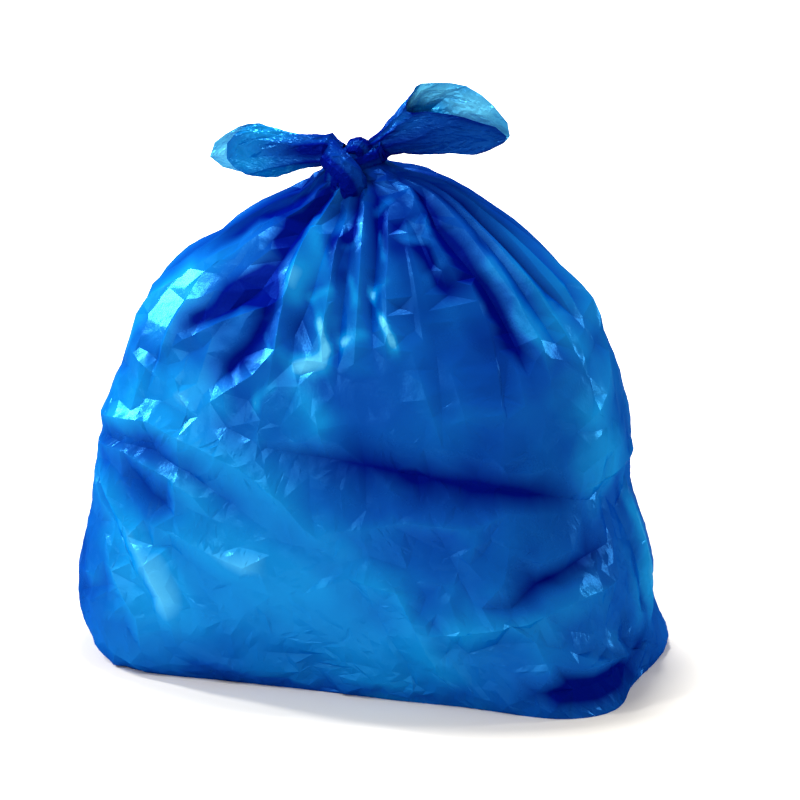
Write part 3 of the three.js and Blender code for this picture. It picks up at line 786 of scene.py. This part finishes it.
def makeBody(shift):
    # a row of corners holds: place, place on the smooth film, outward way, slackness, and the painted
    # shade of fold valleys with the painted light of their crests
    net = filmNet
    folds = bodyFolds + gathersBehind(backGathers) + fineFolds + seedCreases(seededCreases)
    angle, t, strewn, faces, hemAt = makeNet(net, folds)
    print("net of the film:", len(angle), "corners")
    film, outward, lift, free, folded = liftedFilm(angle, t, folds)
    rng = np.random.default_rng(net["seed"] + 1)
    share = film[:, 2] / bodyForm["height"]
    slackness = smoothStep((net["slackBelow"] - share) / net["slackFade"])
    slack = net["tautShare"] + (1 - net["tautShare"]) * slackness
    lift = lift + strewn * rng.uniform(-1, 1, len(lift)) * net["rise"] * slack
    points = film + outward * (lift * free)[:, None]
    points[:, 2] = np.maximum(points[:, 2], 0)
    # painted shade: the deeper a fold's valley lies, the darker the film is painted, and its crests are
    # painted paler as painted light
    shadingAndLayers = np.clip(-folded / bodyForm["darkestDepth"], -1, 1)
    corners = np.column_stack([points, film, outward, slack * free, shadingAndLayers])
    corners, faces = closeBeneath(corners, faces, hemAt)
    corners, faces = refine(corners, faces, net["settledEdge"], net["crumple"], rng)
    corners = settle(corners, faces)
    corners, faces = refine(corners, faces, net["finestEdge"], net["crumple"], rng)
    points, film = corners[:, :3], corners[:, 3:6]
    points[:, 2] = np.maximum(points[:, 2], 0)
    body = meshFrom("filled_body", points * mm + shift, faces.tolist())
    setAttribute(body, "shadingAndLayers", filmTone(film, corners[:, 10]))
    showEdges(body, net["sharpAngle"])
    print("body:", len(faces), "faces")
    return body


def bagShift():
    # the frame's origin is under the middle of the bag's outline, as the solid has it
    count = bodyForm["outlineRound"]
    angle, t = np.meshgrid(np.arange(count) / count * turn, np.linspace(0, 1, bodyForm["outlineUp"]))
    folds = bodyFolds + gathersBehind(backGathers)
    film, outward, lift, free, _ = liftedFilm(angle.ravel(), t.ravel(), folds)
    plain = film + outward * (lift * free)[:, None]
    shift = np.array((cadLow + cadHigh) / 2) - (plain.min(0) + plain.max(0)) / 2 * mm
    shift[2] = 0
    return shift


# the half knot: flattened ropes of film, their paths in half widths of the knot from its middle
knotForm = {
    "half": 21,  # mm
    "height": bodyForm["height"],
    "shift": -11,  # mm to the left
    "rings": 22,
    "pointsRound": 14,
    "middle": (0, 0.1, -0.1),  # the ropes lie flat round this place
    "flatness": 1.5,  # how much wider than round a rope lies on the knot
    "thinness": 0.85,
    "pleat": 1.0,  # mm
    "pleatScatter": 0.6,
    # the knot's film is painted darker, partly for its many layers and partly as painted shade
    "tone": 0.85,
    "crestTone": 0.3,  # how much paler the pleats' crests are painted, as painted light, and their hollows darker, as painted shade
    "twist": 0.1,  # turns of the pleats along a rope
    "finestEdge": 1.9,
    "crumple": 0.06,
    "ropes": [
        (9.5, [(-1.5, 0.05, 0.45), (-1.1, -0.45, 0.3), (-0.55, -0.95, 0.1), (0, -1.15, -0.3),
               (0.1, -1.1, -0.8), (-0.2, -1, -1.2), (-0.6, -0.8, -1.2), (-0.9, -0.5, -0.9)]),
        (9, [(1.1, 0.3, 0.7), (0.7, 0.2, 0.5), (0.2, -0.3, 0.4), (-0.4, -0.7, 0.1), (-0.8, -0.8, -0.4),
             (-0.7, -0.8, -1), (-0.2, -0.7, -1.3), (0.2, -0.5, -1.2)]),
        (6.5, [(1.1, 0.3, 0.7), (0.8, 0.1, 0.2), (0.55, 0, -0.4), (0.4, 0, -1)]),
        (6.5, [(-0.35, -0.1, 0.2), (-0.2, -0.3, 0.75), (0.2, -0.35, 0.8), (0.35, -0.2, 0.2)]),
        (12, [(-0.5, -0.1, 0.2), (-0.35, -0.35, -0.2), (-0.3, -0.45, -0.7), (-0.3, -0.4, -1.1)]),
        (9, [(0.3, 0.4, 0.5), (0.1, 0.4, 0), (0.1, 0.4, -0.5), (-0.2, 0.3, -1.1)]),
    ],
}

# the ears: flattened pouches of film that fan out of the knot, open at the far rim
earForms = {
    "left_ear": {
        "side": -1,  # to the left
        "root": (-0.95, 0, 0.5),  # in half widths of the knot from its middle
        "heading": 187,  # degrees
        "spread": 21,
        "rootRadius": 15,
        "thickness": 9,
        "rim": [75, 94, 120, 84, 63, 81, 104, 90],  # mm from the root, all round the mouth
        "lean": -10,  # mm to the front or back
        # painted light: how pale the front layer is painted where light shines through the film
        "frontTone": -0.8,
        "seed": 3,
    },
    "right_ear": {
        "side": 1, "root": (0.45, 0.35, 0.55), "heading": 29, "spread": 27, "rootRadius": 9,
        "thickness": 11, "rim": [72, 85, 113, 126, 96, 124, 83, 52], "lean": 12,
        "frontTone": 0.35, "seed": 8,
    },
}
earMake = {
    "rings": [0, 0.07, 0.15, 0.24, 0.34, 0.45, 0.57, 0.69, 0.8, 0.9, 1],
    "pointsRound": 24,
    "pointScatter": 0.3,  # as a share of the way between two points round
    "start": -6,  # mm from the root
    "rootTaper": 0.35,
    "taperGrowth": 6,  # how soon the ear has its full width, and the ones below likewise
    "mouthPinch": 0.35,
    "fanStart": 0.25,
    "fanGrowth": 2.2,
    "swellGrowth": 2,
    "uprightFade": 2.5,
    "wall": 0.4,
    "pleat": 1.5,  # mm that the pleats stand out and in
    "strew": 0.9,  # mm that any corner may differ from them
    "flute": 2.2,  # mm of the slow waves along the rim
    "flutes": 5,
    # tones: darker towards the root, the back layer painted pale as light shining through the film, the
    # doubled hem at the rim darker, and the pleats' crests painted paler as painted light
    "rootTone": 0.8,
    "backTone": -1.9,
    "rimTone": 0.4,
    "crestTone": 0.35,
    "finestEdge": 2.3,
    "crumple": 0.05,
}


def inKnot(place):
    return np.asarray(place) * knotForm["half"] + np.array([knotForm["shift"], 0, knotForm["height"]])


def crinkled(name, rings, moves, tone, make, seed, shift, capped):
    # a tube of flat facets through these rings, its corners moved in and out
    rng = np.random.default_rng(seed)
    count, pointsRound = rings.shape[:2]
    around = np.roll(rings, -1, 1) - np.roll(rings, 1, 1)
    outward = np.cross(around, np.gradient(rings, axis=0))
    outward /= np.maximum(np.linalg.norm(outward, axis=2, keepdims=True), 1e-9)
    points = rings + outward * moves[..., None]
    free = np.ones((count, pointsRound, 1))
    corners = np.concatenate([points, rings, outward, free, tone[..., None]], 2)
    corners = corners.reshape(-1, corners.shape[2])
    faces = []
    for j in range(count - 1):
        for i in range(pointsRound):
            a, b = j * pointsRound + i, j * pointsRound + (i + 1) % pointsRound
            c, d = b + pointsRound, a + pointsRound
            faces += [(a, b, c), (a, c, d)] if (i + j) % 2 else [(a, b, d), (b, c, d)]
    if capped:
        ends = np.array([corners[:pointsRound].mean(0), corners[-pointsRound:].mean(0)])
        last = (count - 1) * pointsRound
        corners = np.vstack([corners, ends])
        for i in range(pointsRound):
            after = (i + 1) % pointsRound
            faces += [(len(corners) - 2, after, i), (len(corners) - 1, last + i, last + after)]
    corners, faces = refine(corners, np.array(faces), make["finestEdge"], make["crumple"], rng)
    piece = meshFrom(name, corners[:, :3] * mm + shift, faces.tolist())
    setAttribute(piece, "shadingAndLayers", corners[:, 10])
    return piece


def makeRope(name, radius, path, shift, seed):
    # a flattened, pleated rope of gathered film
    steps, pointsRound = knotForm["rings"], knotForm["pointsRound"]
    rng = np.random.default_rng(seed)
    centre = through(inKnot(path), np.linspace(0, 1, steps))
    along = np.gradient(centre, axis=0)
    along /= np.linalg.norm(along, axis=1, keepdims=True)
    out = centre - inKnot(knotForm["middle"]) + [0.01, 0.02, 0.03]  # never quite zero
    out -= along * (out * along).sum(1, keepdims=True)
    out /= np.linalg.norm(out, axis=1, keepdims=True)
    side = np.cross(along, out)
    share = np.linspace(0, 1, steps)[:, None]
    angle = (np.arange(pointsRound) / pointsRound * turn)[None] + share * knotForm["twist"] * turn
    wide = radius * knotForm["flatness"]
    rings = (centre[:, None] + side[:, None] * (np.cos(angle) * wide)[..., None]
             + out[:, None] * (np.sin(angle) * radius * knotForm["thinness"])[..., None])
    crest = rng.uniform(-1, 1, (1, pointsRound))
    scatter = knotForm["pleatScatter"]
    moves = knotForm["pleat"] * (crest + rng.uniform(-scatter, scatter, (steps, pointsRound)))
    # painted light on the pleats' crests, painted shade in their hollows
    tone = knotForm["tone"] - knotForm["crestTone"] * crest + 0 * share
    return crinkled(name, rings, moves, tone, knotForm, seed, shift, True)


def makeKnot(shift):
    ropes = [makeRope(f"rope{i}", *rope, shift, i) for i, rope in enumerate(knotForm["ropes"])]
    knot = joinPieces("half_knot", ropes)
    showEdges(knot, filmNet["sharpAngle"])
    print("knot:", len(knot.data.polygons), "faces")
    return knot


def joinPieces(name, pieces):
    choose(*pieces)
    bpy.ops.object.join()
    joined = bpy.context.object
    joined.name = joined.data.name = name
    return joined


def makeEar(name, ear, shift):
    # rings fan out from the root to the rim, flat enough to show a front and a back
    make = earMake
    rng = np.random.default_rng(ear["seed"])
    pointsRound = make["pointsRound"]
    share = np.array(make["rings"])[:, None]
    scatter = rng.uniform(-make["pointScatter"], make["pointScatter"], (len(share), pointsRound))
    angle = (np.arange(pointsRound) / pointsRound * turn)[None] + scatter * turn / pointsRound
    rim = np.array(ear["rim"] + ear["rim"][:1], float)
    closed = np.concatenate([rim[-2:-1], rim, rim[1:2]])
    rimAt = through(closed, (angle / turn % 1 * (len(rim) - 1) + 1) / (len(closed) - 1))
    reach = make["start"] + (rimAt - make["start"]) * share
    out = reach / max(ear["rim"])
    across, depth = np.cos(angle), np.sin(angle)
    opened = smoothStep(make["fanStart"] + out * make["fanGrowth"])
    fan = np.radians(ear["heading"] + ear["side"] * across * ear["spread"] * opened)
    flute = make["flute"] * np.sin(make["flutes"] * angle + ear["seed"]) * out
    swollen = smoothStep(out * make["swellGrowth"])
    swell = ear["rootRadius"] + (ear["thickness"] - ear["rootRadius"]) * swollen
    closing = 1 + (make["mouthPinch"] - 1) * smoothStep(out * 2 - 1)
    tapered = make["rootTaper"] + (1 - make["rootTaper"]) * smoothStep(share * make["taperGrowth"])
    half = swell * closing * tapered
    upright = 1 - smoothStep(out * make["uprightFade"])
    upward = across * ear["rootRadius"] * upright * ear["side"] * tapered
    root = inKnot(ear["root"])
    x = root[0] + np.cos(fan) * reach - np.sin(fan) * upward
    y = root[1] + depth * half + flute + ear["lean"] * out**2
    z = root[2] + np.sin(fan) * reach + np.cos(fan) * upward
    rings = np.stack([x, y, z], -1)
    crest = rng.uniform(-1, 1, (1, pointsRound))
    moves = make["pleat"] * crest + make["strew"] * rng.uniform(-1, 1, (len(share), pointsRound))
    # the pleats are shallow at the root and at the rim
    moves = moves * np.minimum(0.4 + share * 3, 1) * np.minimum(1.25 - share, 0.6) / 0.6
    # painted light through the back layer and on the pleats' crests, darker towards the root and at the
    # doubled hem
    front = smoothStep(0.5 - depth * 1.5)
    layer = make["backTone"] + (ear["frontTone"] - make["backTone"]) * front
    tone = make["rootTone"] + (layer - make["rootTone"]) * smoothStep(share * 1.6 - 0.4)
    tone = tone + make["rimTone"] * smoothStep(share * 12 - 11) - make["crestTone"] * crest
    if ear["side"] < 0:
        rings, moves, tone = rings[:, ::-1], moves[:, ::-1], tone[:, ::-1]
    piece = crinkled(name, rings, moves, tone, make, ear["seed"], shift, False)
    wall = piece.modifiers.new("wall", "SOLIDIFY")
    wall.thickness = make["wall"] * mm
    wall.offset = 0
    choose(piece)
    bpy.ops.object.modifier_apply(modifier="wall")
    showEdges(piece, filmNet["sharpAngle"])
    print(name + ":", len(piece.data.polygons), "faces")
    return piece


# one dictionary for the floor and the light
studio = {
    "floorSize": 12,  # m
    "floorColour": (0.8, 0.8, 0.8, 1),
    # the camera sees the floor as white paper, which the lamps reach less far off
    "floorInPicture": (1.0, 0.96, 0.88, 1),
    "farFloorInPicture": (2.6, 2.6, 2.6, 1),
    "farFrom": 0.45,  # m
    "farTo": 2.0,
    "worldColour": (1.0, 1.0, 1.0),
    "worldStrength": 0.4,
    "lampAim": (0, 0, 0.25),
    # name: place, size across and up in m, power in W
    "lamps": {
        "topSoftbox": ((-0.3, 0.5, 2.2), (0.45, 0.3), 36),
        "leftStrip": ((-1.9, 0.3, 1.0), (0.16, 0.52), 32),
        "rightStrip": ((1.8, 0.9, 1.0), (0.2, 0.9), 10),
        "keySoftbox": ((-1.0, -1.0, 1.8), (0.25, 0.25), 11),
        "frontSoftbox": ((-1.2, -2.0, 1.7), (1.6, 1.6), 18),
    },
}


def makeLight(name, place, size, power, aim):
    bpy.ops.object.light_add(type="AREA", location=place)
    light = bpy.context.object
    light.name = name
    aimAt(light, aim)
    light.data.shape = "RECTANGLE"
    light.data.size, light.data.size_y = size
    light.data.energy = power


class Wire:
    # one shader socket: sums on it add Math nodes, and node() adds any other
    def __init__(self, tree, socket=None):
        self.tree, self.socket = tree, socket

    def node(self, kind, inputs=None, out=0, **settings):
        made = self.tree.nodes.new(kind)
        for name, value in settings.items():
            setattr(made, name, value)
        for name, value in (inputs or {}).items():
            if isinstance(value, Wire):
                self.tree.links.new(value.socket, made.inputs[name])
            else:
                made.inputs[name].default_value = value
        return Wire(self.tree, made.outputs[out] if made.outputs else None)

    def sum(self, operation, first, second):
        return self.node("ShaderNodeMath", {0: first, 1: second}, operation=operation)

    def __add__(self, other):
        return self.sum("ADD", self, other)

    def __radd__(self, other):
        return self.sum("ADD", other, self)

    def __rsub__(self, other):
        return self.sum("SUBTRACT", other, self)

    def __mul__(self, other):
        return self.sum("MULTIPLY", self, other)

    def __rmul__(self, other):
        return self.sum("MULTIPLY", other, self)

    def mix(self, first, second):
        # between two colours, by this value
        return self.node("ShaderNodeMix", {0: self, 6: first, 7: second}, out=2, data_type="RGBA")

    def clamped(self, low, high):
        # 0 at low and 1 at high
        return self.node("ShaderNodeMapRange", {"Value": self, "From Min": low, "From Max": high})


def blank(block):
    # a material's or a world's wire, with nothing on it yet
    block.use_nodes = True
    block.node_tree.nodes.clear()
    return Wire(block.node_tree)


def linear(red, green, blue):
    # a colour as the eye reads it, 0 to 255, as the shader wants it
    parts = (c / 255 for c in (red, green, blue))
    return (*(((c + 0.055) / 1.055) ** 2.4 if c > 10 / 255 else c / 12.92 for c in parts), 1)


filmLook = {
    # the film's own blue, a deep navy for painted shade and doubled film, a pale blue for single film
    # and painted light, and a painted sheen for highlights
    "mid": linear(0, 69, 168),
    "deep": linear(0, 8, 114),
    "pale": linear(0, 136, 212),
    "paintedSheen": linear(96, 206, 252),
    # tones at which the film's painted shade begins, and is full, and so on for the pale film and the
    # painted sheen
    "darkRange": (0.0, 0.9),
    "paleRange": (0.0, 1.0),
    "paintedSheenRange": (1.1, 2.0),
    "cloudRange": (0.42, 0.72),
    "cloudShare": 0.2,  # how much the cloud says about what is pale
    "roughness": 0.17,
    "darkRoughness": 0.12,  # how much rougher the film is where shade is painted
    "cloudRoughness": 0.08,
    "grainRoughness": 0.05,
    "specularTint": (0.1, 0.62, 1.0, 1),
    "metal": 0.09,
    "specular": 0.0,
    "refraction": 1.5,
    "gloss": 0.032,  # share of light that the film mirrors
    "glossColour": (0.12, 0.66, 1.0, 1),
    "glossLostInDark": 0.9,
    "cloudScale": 9,
    "crinkleScale": 55,
    "grainScale": 420,
    "bump": 0.35,
    "bumpDepth": 0.0012,  # m
    "grainBump": 0.3,
}


def makeFilm(look):
    film = bpy.data.materials.new("blueFilm")
    wire = blank(film)
    place = wire.node("ShaderNodeTexCoord", out="Object")
    shadingAndLayers = wire.node("ShaderNodeAttribute", out="Fac", attribute_name="shadingAndLayers")

    def noise(size, detail, distortion=0.0, kind="FBM"):
        inputs = {"Vector": place, "Scale": look[size], "Detail": detail, "Distortion": distortion}
        return wire.node("ShaderNodeTexNoise", inputs, noise_type=kind)

    cloud = noise("cloudScale", 3)
    crinkle = noise("crinkleScale", 4, 0.6, "RIDGED_MULTIFRACTAL")
    grain = noise("grainScale", 2)
    # painted shade turns the film deep navy, painted light and single film turn it pale, and the
    # brightest strokes take the painted sheen
    crest = shadingAndLayers * -1
    dark = shadingAndLayers.clamped(*look["darkRange"])
    clouded = cloud.clamped(*look["cloudRange"]) * look["cloudShare"]
    light = crest.clamped(*look["paleRange"]) * (1 - look["cloudShare"]) + clouded
    sheenShare = crest.clamped(*look["paintedSheenRange"])
    singleAndLit = light.mix(look["mid"], look["pale"])
    colour = dark.mix(sheenShare.mix(singleAndLit, look["paintedSheen"]), look["deep"])
    rougher = cloud * look["cloudRoughness"] + grain * look["grainRoughness"]
    roughness = look["roughness"] + rougher + dark * look["darkRoughness"]
    height = crinkle * (1 - look["grainBump"]) + grain * look["grainBump"]
    bump = wire.node("ShaderNodeBump", {
        "Strength": look["bump"], "Distance": look["bumpDepth"], "Height": height,
    })
    surface = wire.node("ShaderNodeBsdfPrincipled", {
        "Base Color": colour, "Roughness": roughness, "Normal": bump, "IOR": look["refraction"],
        "Metallic": look["metal"], "Specular IOR Level": look["specular"],
        "Specular Tint": look["specularTint"],
    })
    mirror = wire.node("ShaderNodeBsdfAnisotropic", {
        "Color": look["glossColour"], "Roughness": roughness, "Normal": bump,
    })
    # the mirror's share follows the painted tones: smaller under painted shade, larger under painted
    # light
    share = look["gloss"] * (1 - look["glossLostInDark"] * dark) * (1 + light)
    glossy = wire.node("ShaderNodeMixShader", {0: share, 1: surface, 2: mirror})
    wire.node("ShaderNodeOutputMaterial", {"Surface": glossy})
    return film


def makeFloor(light):
    bpy.ops.mesh.primitive_plane_add(size=light["floorSize"], location=(0, 0, 0))
    floor = bpy.context.object
    floor.name = "studioFloor"
    paper = bpy.data.materials.new("paleFloor")
    wire = blank(paper)
    seenDirectly = wire.node("ShaderNodeLightPath", out="Is Camera Ray")
    place = wire.node("ShaderNodeTexCoord", out="Object")
    away = wire.node("ShaderNodeVectorMath", {0: place}, out="Value", operation="LENGTH")
    away = away.clamped(light["farFrom"], light["farTo"])
    paperSeen = away.mix(light["floorInPicture"], light["farFloorInPicture"])
    colour = seenDirectly.mix(light["floorColour"], paperSeen)
    diffuse = wire.node("ShaderNodeBsdfDiffuse", {"Color": colour})
    wire.node("ShaderNodeOutputMaterial", {"Surface": diffuse})
    floor.data.materials.append(paper)


def makeWorld(light):
    # white where it is seen or mirrored, and dimmer as a source of light
    world = bpy.data.worlds.new("studioWorld")
    wire = blank(world)
    rays = ("Is Camera Ray", "Is Glossy Ray", "Is Transmission Ray")
    direct, mirrored, passed = (wire.node("ShaderNodeLightPath", out=ray) for ray in rays)
    shown = direct + mirrored + passed
    strength = light["worldStrength"] + shown.clamped(0, 1) * (1 - light["worldStrength"])
    sky = wire.node("ShaderNodeBackground", {"Color": (*light["worldColour"], 1), "Strength": strength})
    wire.node("ShaderNodeOutputWorld", {"Surface": sky})
    bpy.context.scene.world = world


def makeStudio(light):
    makeFloor(light)
    makeWorld(light)
    for name, (place, size, power) in light["lamps"].items():
        makeLight(name, place, size, power, light["lampAim"])


makeCamera(photoView)
print("camera placed")
shift = bagShift()
body = makeBody(shift)
knot = makeKnot(shift)
ears = [makeEar(name, ear, shift) for name, ear in earForms.items()]
film = makeFilm(filmLook)
makeStudio(studio)
print("film, floor and lamps made")
for piece in (body, knot, *ears):
    piece.data.materials.append(film)
    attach(piece, "root")
    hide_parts("garbage_bag")
bpy.context.scene.view_settings.view_transform = "Standard"
